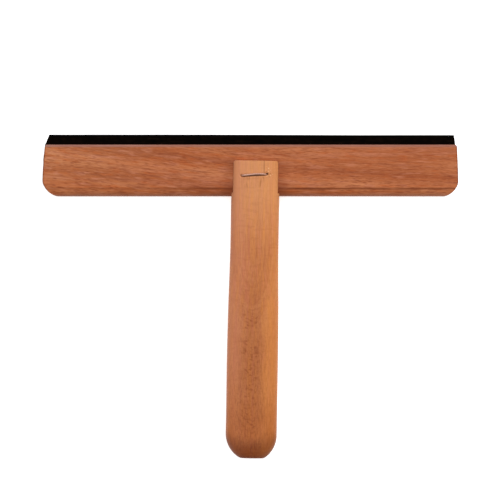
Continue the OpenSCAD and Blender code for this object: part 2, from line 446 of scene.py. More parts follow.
def handlePress(x, y):  # how deep the staple has marked the face of the handle here
    marks, half = stapleMarks, stapleSize["crown"] / 2
    turn = math.radians(stapleSize["slope"])
    dx, dy = x - stapleSize["x"], y - stapleSize["y"]
    u = dx * math.cos(turn) + dy * math.sin(turn)
    v = -dx * math.sin(turn) + dy * math.cos(turn)
    if abs(u) > marks["reach"][0] or abs(v) > marks["reach"][1]:
        return 0.0
    fadeFrom, fadeTo = marks["crownEnds"]
    inCrown = 1 - smoothStep(half + fadeFrom, half + fadeTo, abs(u))
    height = marks["trough"] * bell(v - marks["troughAt"], marks["troughWidth"]) * inCrown
    height += marks["lip"] * bell(abs(v) - marks["lipAt"], marks["lipWidth"]) * inCrown
    for pit, end in (("rightPit", half), ("leftPit", -half)):
        (atU, atV), (long, wide) = marks[pit + "At"], marks[pit + "Size"]
        height += marks[pit] * bell(u - end - atU, long) * bell(v - atV, wide)
    bruiseU, bruiseV = marks["bruiseAt"]
    bruise = smoothStep(*marks["bruiseLong"], abs(u - bruiseU))
    bruise *= smoothStep(*marks["bruiseWide"], abs(v - bruiseV))
    grainX, grainY = marks["bruiseGrain"]
    height += marks["bruise"] * bruise * max(0.0, wander(x / grainX, y / grainY, 0.0, marks["bruiseSeed"])
                                             + marks["bruiseBias"])
    dented = smoothStep(*marks["dentsFrom"], v) * smoothStep(*marks["dentsTo"], v) * inCrown
    grainX, grainY = marks["dentGrain"]
    height += marks["dents"] * dented * max(0.0, wander(x / grainX, y / grainY, 0.0, marks["dentSeed"]))
    splitAt = half + marks["splitAt"] + marks["splitWave"] * math.sin(v)
    split = bell(u - splitAt, marks["splitWidth"]) * smoothStep(*marks["splitFrom"], v)
    return height + marks["split"] * split


def sectionPoints(halfWidth, halfThick, power, centre):  # points round the section, closer on the front
    size = handleSize
    count, dense = size["aroundCount"], []
    for i in range(round(360 / size["aroundTurn"]) + 1):
        a = math.radians(i * size["aroundTurn"])
        c, s = math.cos(a), math.sin(a)
        dense.append((halfWidth * math.copysign(abs(c) ** (2 / power), c),
                      centre + halfThick * math.copysign(abs(s) ** (2 / power), s)))
    run = [0.0]
    for (x0, z0), (x1, z1) in zip(dense, dense[1:]):
        weight = size["frontWeight"] if z0 > centre + size["frontFrom"] * halfThick else 1.0
        run.append(run[-1] + weight * math.hypot(x1 - x0, z1 - z0))
    points, k = [], 0
    for i in range(count):
        want = run[-1] * i / count
        while run[k + 1] < want:
            k += 1
        t = (want - run[k]) / max(1e-9, run[k + 1] - run[k])
        points.append((lerp(dense[k][0], dense[k + 1][0], t), lerp(dense[k][1], dense[k + 1][1], t)))
    return points


def handlePlaces(tipY):  # where along the handle its rings stand, closer where its shape turns
    size = handleSize
    shoulder, top = size["shoulder"], size["top"]
    tipFrom, tipTo = tipY + size["tipRun"][0], tipY + size["tipRun"][1]
    places = [tipY + spot for spot in size["tipSpots"]]
    places += steps((tipFrom, tipTo, size["tipStep"]), (tipTo, size["neckStart"], size["gripStep"]),
                    (size["neckStart"], shoulder - 0.35, size["neckStep"]))
    places += [shoulder + spot for spot in size["shoulderSpots"]]
    places += steps((shoulder + 0.8, size["tongueStart"], size["lowStep"]),
                    (size["tongueStart"], top - 1.9, size["tongueStep"]))
    return places + [top - spot for spot in size["topSpots"]]


def handleRing(y, tipY):
    size = handleSize
    centre = halfThick = size["thick"] / 2
    fromTip, fromTop = y - tipY, size["top"] - y
    swell = smoothStep(size["swellStart"], size["swellEnd"], fromTip)
    halfWidth = lerp(size["gripWidth"], size["neckWidth"], swell) / 2
    power = lerp(size["gripPower"], size["neckPower"], swell)
    tipCut = []
    for start, radius in (size["tipLeft"], size["tipRight"]):
        tipCut.append(radius - math.sqrt(radius ** 2 - (start - fromTip) ** 2) if fromTip < start else 0.0)
    if fromTip < size["tipFaceLength"]:
        reach = (1 - fromTip / size["tipFaceLength"]) ** size["tipFacePower"]
        halfThick -= size["tipFaceDrop"] * (1 - math.sqrt(max(0.0, 1 - reach)))
    if fromTip < size["tipRound"]:  # small round at the very end
        tipCut = [cut + size["tipRoundSide"] * fallOff(fromTip, size["tipRound"]) for cut in tipCut]
        halfThick -= size["tipRoundFace"] * fallOff(fromTip, size["tipRound"])
    tongue = size["tongueWidth"] / 2 - fallOff(fromTop, size["tongueCorner"])
    uneven = size["unevenness"] * smoothStep(size["shoulder"], size["shoulder"] - size["unevenFade"], y)
    ring = []
    for x, z in sectionPoints(halfWidth, halfThick, power, centre):
        x *= 1 - tipCut[0 if x < 0 else 1] / halfWidth
        if y > size["shoulder"]:  # the tongue is cut back to lie in its housing
            x = max(-tongue, min(tongue, x))
            z = max(size["tongueBack"], z)
            if z > centre:
                z -= fallOff(fromTop, size["tongueEase"]) * min(1.0, (z - centre) / size["tongueEaseDepth"])
        px, py = onHandle(x, y)
        if z > centre:
            z += handlePress(px, py) * smoothStep(centre + size["marksFrom"], centre + size["marksTo"], z)
        swing = uneven * wander(px / size["unevenWidth"], py / size["unevenLength"],
                                z / size["unevenWidth"], size["seed"])
        ring.append((px + swing * x / halfWidth, py, max(0.0, z + swing * (z - centre) / centre)))
    return ring


def makeHandle():
    tipY = handleSize["top"] - handleSize["length"]
    rings = [handleRing(y, tipY) for y in handlePlaces(tipY)]
    return newPiece("handle_wood", *skin(rings), creaseAngle=50.0)


bladeSize = {
    "root": 6.6, "mouth": 18.6, "reachLeft": 26.1, "reachRight": 25.75, "low": 6.5, "high": 9.5,
    "fallRun": (-45, 75),  # where the edge falls from its left reach to its right one
    "leftRoot": -149.9, "leftMouth": -148.6, "leftSlant": 3.2, "leftWave": 0.1, "leftWaveRate": 1.9,
    "rightRoot": 148.9, "rightSlope": 0.06, "rightSlant": 0.5,
    "leftRun": (-150.0, -144.0, 0.5), "middleRun": (-144.0, 140.0, 2.0), "rightRun": (140.0, 148.5, 0.5),
    "leftBlend": -140.0, "rightBlend": 136.0,  # the ends' shapes fade out up to here
    "edgeEase": 0.25, "easeTurns": (30, 60, 90), "rowCount": 10,
    "wave": 0.07, "waveLength": 30.0, "waveSeed": 11,
    "bow": 0.05, "bowLength": 22.0, "bowWidth": 5.0, "bowFrom": 3.0, "bowSeed": 13,
}


def bladeLeftEnd(y):
    size = bladeSize
    if y < size["mouth"]:
        return lerp(size["leftRoot"], size["leftMouth"], smoothStep(size["root"], size["mouth"], y))
    slant = size["leftSlant"] * (y - size["mouth"]) / (size["reachLeft"] - size["mouth"])
    return size["leftMouth"] + slant + size["leftWave"] * math.sin(size["leftWaveRate"] * y)


def bladeRightEnd(y):
    size = bladeSize
    slant = size["rightSlant"] * smoothStep(size["mouth"], size["reachRight"], y) ** 2
    return size["rightRoot"] - size["rightSlope"] * (y - size["root"]) - slant


def bladeRing(x, firstX, lastX):
    size = bladeSize
    top = lerp(size["reachLeft"], size["reachRight"], smoothStep(*size["fallRun"], x))
    top += size["wave"] * wander(x / size["waveLength"], 0, 0, size["waveSeed"])
    ease, rows = size["edgeEase"], size["rowCount"]
    leftBlend, rightBlend = size["leftBlend"], size["rightBlend"]
    heights = [lerp(size["root"], size["mouth"], t / rows) for t in range(rows)]
    heights += [lerp(size["mouth"], top - ease, t / rows) for t in range(rows + 1)]
    front = [(y, size["high"]) for y in heights]
    for a in size["easeTurns"]:
        turn = math.radians(a)
        front.append((top - ease * (1 - math.sin(turn)), size["high"] - ease * (1 - math.cos(turn))))
    back = [(y, size["low"] + size["high"] - z) for y, z in reversed(front)]
    ring = []
    for y, z in front + back:
        bow = size["bow"] * wander(x / size["bowLength"], y / size["bowWidth"], 0, size["bowSeed"])
        bow *= smoothStep(size["mouth"], size["mouth"] + size["bowFrom"], y)
        px = x
        if x < leftBlend:
            px = lerp(bladeLeftEnd(y), leftBlend, (x - firstX) / (leftBlend - firstX))
        elif x > rightBlend:
            px = lerp(rightBlend, bladeRightEnd(y), (x - rightBlend) / (lastX - rightBlend))
        ring.append((px, y, z + bow))
    return ring


def makeBlade():
    across = steps(bladeSize["leftRun"], bladeSize["middleRun"], bladeSize["rightRun"])
    rings = [bladeRing(x, across[0], across[-1]) for x in across]
    return newPiece("rubber_strip", *skin(rings), creaseAngle=30.0)


def staplePath(half, foot):  # the middle of the wire, from one foot over the crown to the other
    size = stapleSize
    bend, step, top = size["bend"], size["crownStep"], size["height"]
    legEnd = foot + 2 * size["footStep"]
    path = [(-half, foot), (-half, foot + size["footStep"])]
    path += [(-half, h) for h in steps((legEnd, top - bend, size["legStep"]))]
    path += arc(bend - half, top - bend, bend, range(170, 89, -10))
    crown = steps((-half + bend + step, half - bend - step, step))
    path += [(u, top - size["sink"] * (1 - (u / half) ** 2)) for u in crown]
    path += arc(half - bend, top - bend, bend, range(90, -1, -10))
    path += [(half, h) for h in steps((top - bend - 1.0, legEnd, size["legStep"]))]
    return path + [(half, foot + size["footStep"]), (half, foot)]


def makeStaple():
    size = stapleSize
    half = size["crown"] / 2 - size["wire"] / 2
    path = staplePath(half, size["height"] + size["wire"] / 2 - size["leg"])
    turn = math.radians(size["slope"])
    rings = []
    for k, (u, h) in enumerate(path):
        before, after = path[max(0, k - 1)], path[min(len(path) - 1, k + 1)]
        length = math.hypot(after[0] - before[0], after[1] - before[1])
        du, dh = (after[0] - before[0]) / length, (after[1] - before[1]) / length
        radius = size["wire"] / 2 * (size["pointed"] if k in (0, len(path) - 1) else 1.0)
        flat = size["flatness"] if abs(u) < half - size["bend"] else 1.0
        bow = size["bow"] * (1 - (u / half) ** 2) + size["swing"] * math.sin(u * size["swingRate"])
        ring = []
        for degrees in range(0, 360, size["turnStep"]):
            a = math.radians(degrees)
            side = radius * math.cos(a) * size["wideness"]
            rub = size["rub"] * wander(u * size["rubRate"], h * size["rubRate"], a, size["seed"])
            out = radius * math.sin(a) * flat + rub
            pu, ph = u - dh * out, h + du * out
            ring.append((size["x"] + pu * math.cos(turn) - side * math.sin(turn),
                         size["y"] + pu * math.sin(turn) + side * math.cos(turn) + bow, ph))
        rings.append(ring)
    return newPiece("staple_wire", *skin(rings), creaseAngle=60.0)


bradSize = {
    "count": 5, "firstX": -120.0, "pitch": 60.0, "y": 12.6, "sink": 0.3,
    "head": 2.1, "headThick": 0.5, "wire": 1.2, "length": 12.2,
    "hole": 1.12, "holePast": 1.0,  # radius of a recess, and how far its cutter starts below the face
    "domeShare": 0.4, "pointShare": 0.14,  # of the head's thickness and the wire's length
    "domeWidth": 0.9, "pointWidth": 0.12, "tilt": 0.02, "seed": 7, "creaseAngle": 40.0,
}


def bradShape(start, value):  # one brad, head down, from the tree's own inputs
    dome, point = bradSize["domeShare"], bradSize["pointShare"]
    headRadius, headThick = value("Head Radius"), value("Head Thickness")
    wireRadius, length = value("Wire Radius"), value("Length")

    def cone(vertices, fill, bottom, top, depth):
        return start.node("GeometryNodeMeshCone", None, {
            "Vertices": vertices, "Side Segments": 2, "Fill Segments": fill,
            "Radius Bottom": bottom, "Radius Top": top, "Depth": depth})

    def rod(vertices, sideCount, radius, depth):
        return start.node("GeometryNodeMeshCylinder", None, {
            "Vertices": vertices, "Side Segments": sideCount, "Fill Segments": 1,
            "Radius": radius, "Depth": depth})

    def lifted(shape, height):
        up = start.node("ShaderNodeCombineXYZ", None, {2: height})
        return start.node("GeometryNodeTransform", None, {"Geometry": shape, "Translation": up})

    tip = cone(20, 1, wireRadius, wireRadius * bradSize["pointWidth"], length * point)
    return (
        cone(28, 3, headRadius * bradSize["domeWidth"], headRadius, headThick * dome),
        lifted(rod(28, 1, headRadius, headThick * (1 - dome)), headThick * ((1 + dome) / 2)),
        lifted(rod(20, 6, wireRadius, length * (1 - point)), length * ((1 - point) / 2)),
        lifted(tip, length * (1 - point)),
    )


def bradTree(material):  # a row of brads
    tree = bpy.data.node_groups.new("bradRow", "GeometryNodeTree")
    panel = tree.interface
    panel.new_socket("Geometry", in_out="INPUT", socket_type="NodeSocketGeometry")
    panel.new_socket("Geometry", in_out="OUTPUT", socket_type="NodeSocketGeometry")
    inputs = {"Count": "Int", "Pitch": "Float", "Start": "Vector", "Head Radius": "Float",
              "Head Thickness": "Float", "Wire Radius": "Float", "Length": "Float", "Seed": "Int"}
    for name, kind in inputs.items():
        panel.new_socket(name, in_out="INPUT", socket_type="NodeSocket" + kind)
    given = tree.nodes.new("NodeGroupInput")
    result = tree.nodes.new("NodeGroupOutput")
    start = Strand(tree, given.outputs["Geometry"])

    def value(name):
        return Strand(tree, given.outputs[name])

    joined = tree.nodes.new("GeometryNodeJoinGeometry")
    for part in bradShape(start, value):
        tree.links.new(part.socket, joined.inputs[0])
    offset = start.node("ShaderNodeCombineXYZ", None, {0: value("Pitch")})
    line = start.node("GeometryNodeMeshLine", {"mode": "OFFSET"},
                      {"Count": value("Count"), "Start Location": value("Start"), "Offset": offset})
    tilt = bradSize["tilt"]
    turn = start.node("FunctionNodeRandomValue", {"data_type": "FLOAT_VECTOR"},
                      {0: (-tilt, -tilt, 0.0), 1: (tilt, tilt, 6.28), "Seed": value("Seed")})
    row = start.node("GeometryNodeInstanceOnPoints", None,
                     {"Points": line, "Instance": Strand(tree, joined.outputs[0]), "Rotation": turn})
    real = start.node("GeometryNodeRealizeInstances", None, {0: row})
    painted = start.node("GeometryNodeSetMaterial", None, {"Geometry": real, "Material": material})
    tree.links.new(painted.socket, result.inputs[0])
    return tree


def makeBrads(material):
    size = bradSize
    piece = bpy.data.objects.new("blade_brad_row", bpy.data.meshes.new("blade_brad_row"))
    bpy.context.scene.collection.objects.link(piece)
    row = piece.modifiers.new("bradRow", "NODES")
    row.node_group = bradTree(material)
    sizes = {
        "Count": size["count"], "Pitch": size["pitch"] * mm, "Seed": size["seed"],
        "Start": (size["firstX"] * mm, size["y"] * mm, size["sink"] * mm),
        "Head Radius": size["head"] / 2 * mm, "Head Thickness": size["headThick"] * mm,
        "Wire Radius": size["wire"] / 2 * mm, "Length": size["length"] * mm,
    }
    for item in row.node_group.interface.items_tree:
        if item.name in sizes:
            row[item.identifier] = sizes[item.name]
    plainMesh(piece)
    piece.data.shade_smooth()
    piece.data.set_sharp_from_angle(angle=math.radians(size["creaseAngle"]))
    return piece


# The beech. Sizes of patches are along the grain, across it and deep, but the ripple's are across it first.
# A pair of numbers says where a mask is 0 and where it is 1.

beechGrain = {
    "broad": (90, 22, 22), "finer": (26, 7, 7), "finerSway": 0.28, "deepSway": 0.6,
    "lateFrom": (0.35, 0.86), "lateTo": (1.0, 0.88), "lateYears": (0.34, 0.66), "lateYearRate": 0.9,
    "fibres": (17, 0.75, 0.9), "hairs": (6, 0.28, 0.34), "pores": (0.9, 0.13, 0.13),
    "threads": (7, 0.8, 0.8), "threadShift": 217.0, "ripple": (7, 2.3, 9), "flame": (13, 2.6, 4),
    "streakLength": 120, "streakDepth": 5.0, "dashDepth": 7.0, "longDashDepth": 9.0,
    "dashSize": 0.4, "dashCore": 0.45, "dashPick": 0.08, "longDashGap": 0.45, "longDashReach": (2.2, 1.5),
    "dashField": (0.3, 0.62), "dashFieldLow": 0.4,
    "toneShares": (0.6, 0.35, 0.2),  # of the years, the broad patches and the fibres
    "orangeStreak": (0.5, 0.66), "pinkStreak": (0.47, 0.33),
    "pinkFlame": (0.54, 0.7), "orangeFlame": (0.46, 0.3),
    "darkFibre": (0.49, 0.3), "darkThread": (0.46, 0.3), "paleThread": (0.56, 0.72), "paleThreadShare": 0.6,
    "paleHair": (0.53, 0.76), "paleHairShare": 0.4, "darkRipple": (0.5, 0.3),
    "darkPore": (0.42, 0.25), "darkPoreShare": 0.3, "longDashHair": (0.3, 0.5),
    "endFaceOilAndShadeFrom": (0.3, 0.85), "endFaceOilAndShadeShare": 0.7, "sideShadeFiner": 0.5, "sideShadeLow": 0.4,
    "roughness": 0.47, "bumpStrength": 0.5,
}


def beechFinish(name, wood):
    grain = beechGrain
    material, place, shader = newFinish(name, Specular_IOR_Level=0.14)
    x, y, z = place.split()
    if wood["grainAxis"] == "X":  # the figure of the bar runs a little downhill over the left half
        along, across = x, y
        across = across + along.atMost(0.0) * wood["slopeLeft"] + along.atLeast(0.0) * wood["slopeRight"]
    else:
        along, across = y, x
        across = across - along * wood["slopeRight"]
    broad = patches((along, across, z), grain["broad"])
    finer = patches((along, across, z), grain["finer"])
    sway = (broad - 0.5) * wood["sway"] + (finer - 0.5) * (grain["finerSway"] * wood["sway"])

    # growth rings about a pith that lies below the face and rises along it, more steeply at the arches
    sideways = across - wood["pithAcross"] + sway
    arch = along.rise(*wood["archReach"]) * wood["archRise"]
    below = z - wood["pithHeight"] - along * wood["pithRise"] - arch + sway * grain["deepSway"]
    radius = (sideways * sideways + below * below) ** 0.5
    around = sideways.maths("ARCTAN2", sideways, below) * wood["pithDepth"]
    ringCount = radius / wood["ringWidth"]
    ringPlace = ringCount.maths("FRACT", ringCount)

    def yearNoise(count, rate, detail):
        return count.node("ShaderNodeTexNoise", {"noise_dimensions": "1D"},
                          {"W": count, "Scale": rate, "Detail": detail})

    lateYears = yearNoise(ringCount, grain["lateYearRate"], 1.0).rise(*grain["lateYears"])
    lateWood = ringPlace.rise(*grain["lateFrom"]) * ringPlace.rise(*grain["lateTo"]) * lateYears
    yearTone = yearNoise(ringCount * (wood["ringWidth"] / wood["bandWidth"]), 1.0, 2.0)

    # fibres, long and short
    rounded = (along, around, radius)
    fibres = patches(rounded, grain["fibres"], 3.0, 0.62)
    hairs = patches(rounded, grain["hairs"], 3.0, 0.6)
    pores = patches(rounded, grain["pores"], 2.0, 0.6)
    threads = patches((along + grain["threadShift"], across, z), grain["threads"], 2.0, 0.55)
    ripple = patches((across, along, z), grain["ripple"])

    # rays: thin plates that run out from the pith, so they show as short dark dashes on the face
    def dashes(sizes, gap):
        spot = stretched(rounded, sizes)
        pick = spot.cells(out=1).split()[0]
        core = spot.cells().rise(grain["dashSize"], grain["dashSize"] * grain["dashCore"])
        return core * pick.rise(gap, gap + grain["dashPick"])

    length, width = wood["dashLength"], wood["dashWidth"]
    longer, wider = grain["longDashReach"]
    smallDashes = dashes((length, width, grain["dashDepth"]), wood["dashGap"])
    longDashes = dashes((length * longer, width * wider, grain["longDashDepth"]), grain["longDashGap"])
    dashField = broad.rise(*grain["dashField"]) * (1 - grain["dashFieldLow"]) + grain["dashFieldLow"]
    dashStrength = wood["dashStrength"] * dashField

    # streaks and short flames of another hue that run the length of the piece
    streaks = patches(rounded, (grain["streakLength"], wood["streakWidth"], grain["streakDepth"]), 1.0)
    flame = patches((along, across, z), grain["flame"], 1.5)
    yearShare, broadShare, fibreShare = grain["toneShares"]
    middle = (yearShare + broadShare + fibreShare) / 2
    tone = yearTone * yearShare + broad * broadShare + fibres * fibreShare - middle
    colour = (tone * wood["contrast"] + 0.5).ramp(*wood["ramp"])
    colour = colour.tint(wood["orange"], streaks.rise(*grain["orangeStreak"]) * wood["hueStrength"])
    colour = colour.tint(wood["pink"], streaks.rise(*grain["pinkStreak"]) * wood["hueStrength"])
    colour = colour.tint(wood["pink"], flame.rise(*grain["pinkFlame"]) * wood["flameStrength"])
    colour = colour.tint(wood["orange"], flame.rise(*grain["orangeFlame"]) * wood["flameStrength"])
    colour = colour.tint(wood["late"], lateWood * wood["lateStrength"])
    colour = colour.tint(wood["dark"], fibres.rise(*grain["darkFibre"]) * wood["fibreStrength"])
    colour = colour.tint(wood["dark"], threads.rise(*grain["darkThread"]) * wood["threadStrength"])
    paleThread = wood["threadStrength"] * grain["paleThreadShare"]
    colour = colour.tint(wood["pale"], threads.rise(*grain["paleThread"]) * paleThread)
    colour = colour.tint(wood["pale"], hairs.rise(*grain["paleHair"]) * grain["paleHairShare"])
    colour = colour.tint(wood["dark"], ripple.rise(*grain["darkRipple"]) * wood["rippleStrength"])
    colour = colour.tint(wood["dash"], smallDashes * dashStrength)
    colour = colour.tint(wood["dash"], longDashes * dashStrength * hairs.rise(*grain["longDashHair"]))
    colour = colour.tint(wood["dark"], pores.rise(*grain["darkPore"]) * grain["darkPoreShare"])

    # end grain drinks more oil, so the end faces are darker; where the mask reaches the eased edges at the
    # ends, the darkening is painted shade
    facing = place.node("ShaderNodeTexCoord", out=1).split()[0 if wood["grainAxis"] == "X" else 1]
    # oil on the end faces, and painted shade on the eased edges round them
    endFaceOilAndShade = abs(facing).rise(*grain["endFaceOilAndShadeFrom"])
    colour = colour.tint(wood["endFaceOilAndShade"], endFaceOilAndShade * grain["endFaceOilAndShadeShare"], "MULTIPLY")
    # painted shade: the sides and rounded edges below the front face are darkened, mottled by the finer
    # patches
    sideShade = z.rise(*wood["sideShadeReach"]) * (finer * grain["sideShadeFiner"] + grain["sideShadeLow"])
    colour = colour.tint(wood["sideShade"], sideShade)

    rough = grain["roughness"] + fibres * 0.16 + smallDashes * 0.08 + endFaceOilAndShade * 0.15 - hairs * 0.08
    relief = fibres * 0.35 + hairs * 0.3 + pores * 0.35 - smallDashes * 0.25 - lateWood * 0.15
    relief = relief + endFaceOilAndShade * pores * 0.4
    colour, rough = wood["marksAndShade"]((x, y, z), colour, rough)
    bump = emboss(relief, grain["bumpStrength"], wood["reliefDepth"])
    feed(shader, Base_Color=colour, Roughness=rough, Normal=bump)
    return material


barWearAndShade = {  # each paint is a colour and its strength
    "front": (12.5, 14.5), "ragged": (9, 5 / 3, 5 / 3),
    "arris": (shade(136, 92, 80), 0.8), "arrisReach": (16.3, 17.4), "arrisLow": 0.65, "arrisRagged": 0.5,
    "arrisPolish": 0.05,
    # painted shade in the quirk
    "quirk": shade(106, 46, 14), "quirkAt": -13.2, "quirkWave": 0.8, "quirkReach": (1.1, 0.25),
    "quirkRagged": (0.2, 0.55), "quirkLow": 0.4,
    "quirkLeft": 0.32, "quirkRight": 0.4, "quirkRightReach": (-70.0, 10.0),
    "quirkMiddle": 0.25, "quirkMiddleReach": (70.0, 18.0),
    # painted shade along the top edge beside the rubber
    "groove": (shade(90, 40, 18), 0.35), "grooveReach": (18.2, 18.7),
    "handleAt": 3.6,
    # painted shadow beside the handle
    "beside": (shade(150, 120, 105), 0.3), "besideReach": (26.0, 15.5), "besideTop": (9.0, 5.5),
    # painted shade in the corners beside the handle, low down
    "nook": (shade(118, 52, 20), 0.5), "nookReach": (30.0, 16.5), "nookTop": (-6.0, -12.0),
    "fresh": ((1.1, 1.27, 1.42), 1.0), "freshReach": (0.0, -60.0), "freshUp": (-16.0, 4.0), "freshLow": 0.5,
    "freshPatches": (60, 25, 25), "freshEdge": (0.3, 0.62),
}


def barMarksAndShade(axes, colour, rough):  # wear, tone and painted shade on the bar
    wearAndShade = barWearAndShade
    x, y, z = axes
    front = z.rise(*wearAndShade["front"])
    fromHandle = abs(x - wearAndShade["handleAt"])
    ragged = patches(axes, wearAndShade["ragged"], 3.0)
    arris = y.rise(*wearAndShade["arrisReach"]) * front * (wearAndShade["arrisLow"] + ragged * wearAndShade["arrisRagged"])
    colour = colour.coat(wearAndShade["arris"], arris.atMost(1.0))
    # painted shade in the quirk, the step where the lower round meets the face: a broken dark line, stronger
    # to the right and near the handle
    fromQuirk = abs(y - wearAndShade["quirkAt"] + (ragged - 0.5) * wearAndShade["quirkWave"])
    broken = ragged.rise(*wearAndShade["quirkRagged"]) * (1 - wearAndShade["quirkLow"]) + wearAndShade["quirkLow"]
    strength = x.rise(*wearAndShade["quirkRightReach"]) * wearAndShade["quirkRight"] + wearAndShade["quirkLeft"]
    strength = strength + fromHandle.rise(*wearAndShade["quirkMiddleReach"]) * wearAndShade["quirkMiddle"]
    colour = colour.tint(wearAndShade["quirk"], fromQuirk.rise(*wearAndShade["quirkReach"]) * front * broken * strength)
    # painted shade along the top edge, where the bar meets the rubber
    colour = colour.coat(wearAndShade["groove"], y.rise(*wearAndShade["grooveReach"]))
    # painted shadow of the handle on the bar's face beside it, below the tongue's top
    beside = fromHandle.rise(*wearAndShade["besideReach"]) * y.rise(*wearAndShade["besideTop"]) * front
    colour = colour.coat(wearAndShade["beside"], beside, "MULTIPLY")
    # painted shade in the corners beside the handle, down by the quirk
    nook = fromHandle.rise(*wearAndShade["nookReach"]) * y.rise(*wearAndShade["nookTop"]) * front
    colour = colour.coat(wearAndShade["nook"], nook)
    fresher = patches(axes, wearAndShade["freshPatches"], 1.0).rise(*wearAndShade["freshEdge"])
    upward = y.rise(*wearAndShade["freshUp"]) * (1 - wearAndShade["freshLow"]) + wearAndShade["freshLow"]
    colour = colour.coat(wearAndShade["fresh"], x.rise(*wearAndShade["freshReach"]) * upward * fresher, "MULTIPLY")
    return colour, rough - arris * wearAndShade["arrisPolish"]


handleWearAndShade = {  # each paint is a colour and its strength
    "lean": 0.0175, "axisAt": 3.8, "face": (15.0, 17.0), "blotch": (8, 20, 10),
    "grip": (shade(174, 98, 46), 0.6), "gripReach": (-22.0, -185.0), "gripWave": 26,
    "gripPolish": 0.06,
    # short fibres, which show more where the grip is darker: on the grip, and elsewhere
    "fibre": (0.7, 5.5, 0.8), "darkFibre": shade(124, 64, 28), "darkFibreReach": (0.5, 0.34),
    "darkFibreShares": (0.32, 0.06),
    "paleFibre": shade(206, 136, 84), "paleFibreReach": (0.54, 0.7), "paleFibreShares": (0.14, 0.08),
    "speckle": (shade(132, 70, 32), 0.2), "speckleSize": (1.6, 1.3, 1.6), "speckleReach": (0.52, 0.66),
    # bands along it, which weaken towards the tip; the middle one is painted shade, the side ones painted
    # light and sheen
    "fadeReach": (-204.0, -120.0), "fadeLow": 0.3,
    "middle": (shade(160, 104, 66), 0.34), "middleAt": -1.5, "middleReach": (14.0, 5.0),
    # painted shade on the rounded tip
    "tip": (shade(150, 104, 76), 0.68), "tipReach": (-189.0, -201.0), "tipWave": 5, "tipCurve": 0.012,
    "lower": ((0.9, 0.83, 0.74), 1.0), "lowerFrom": (-160.0, -184.0), "lowerTo": (-199.0, -191.0),
    "top": (shade(212, 150, 102), 0.42), "topReach": (-60.0, -4.0),
    "sideWave": 9, "sideHeight": (6.0, 12.0),
    # painted light on the right side, painted sheen on the left
    "paintedRightLight": shade(214, 136, 68), "paintedRightLightReach": (2.0, 15.0), "paintedRightLightShares": (0.3, 0.22),
    "paintedLeftSheen": (shade(200, 130, 102), 0.4), "paintedLeftSheenReach": (-3.0, -15.0),
    # small brown marks, wider than they're long, in clusters down the middle of the grip
    "mark": (shade(134, 66, 30), 0.62), "markSize": (2.3, 1.6, 6), "markCurve": 0.03,
    "markReach": (0.53, 0.76),
    "cluster": (8, 11, 12), "clusterReach": (0.36, 0.56),
    "fieldAt": -1.2, "fieldAcross": (9.5, 3.0), "fieldDown": (-70.0, -118.0), "fieldFace": (14.0, 17.0),
    # the split above the staple's right leg, the bruised corner, painted shadow under the wire and painted
    # shade in the holes at its ends
    "split": (shade(96, 52, 28), 0.5), "splitAt": 9.9, "splitWave": 0.5, "splitReach": (0.42, 0.1),
    "splitFrom": (-2.6, -1.6),
    "speck": (1.3, 1.4, 2.0), "speckReach": (0.42, 0.2),
    "darkSpeck": (shade(124, 66, 30), 0.6), "darkPick": (0.55, 0.65),
    "paleSpeck": (shade(240, 196, 148), 0.5), "palePick": (0.4, 0.3),
    "bruiseAt": (14.2, -2.0), "bruiseAcross": (4.2, 2.2), "bruiseAlong": (4.8, 2.8),
    "dent": (shade(136, 76, 40), 0.5), "dentSize": (0.42, 7, 7), "dentReach": (0.51, 0.64),
    "pressedAt": (2.6, -8.2), "pressedAcross": (10.5, 6.0), "pressedAlong": (5.2, 2.4),
    # painted shadow under the wire
    "under": shade(70, 34, 16), "underAt": -1.0, "underReach": (0.85, 0.25), "underEnds": (0.4, -1.5),
    "underLow": 0.5, "underBlotch": 0.8,
    # painted shade in the holes at the crown's ends
    "pit": (shade(52, 24, 12), 0.85), "pitAlong": -0.3, "pitWide": (1.1, 0.4),
    "rightPit": 0.2, "rightPitReach": (1.3, 0.5),
    "leftPit": -0.1, "leftPitReach": (0.9, 0.4), "leftPitShare": 0.35,
}


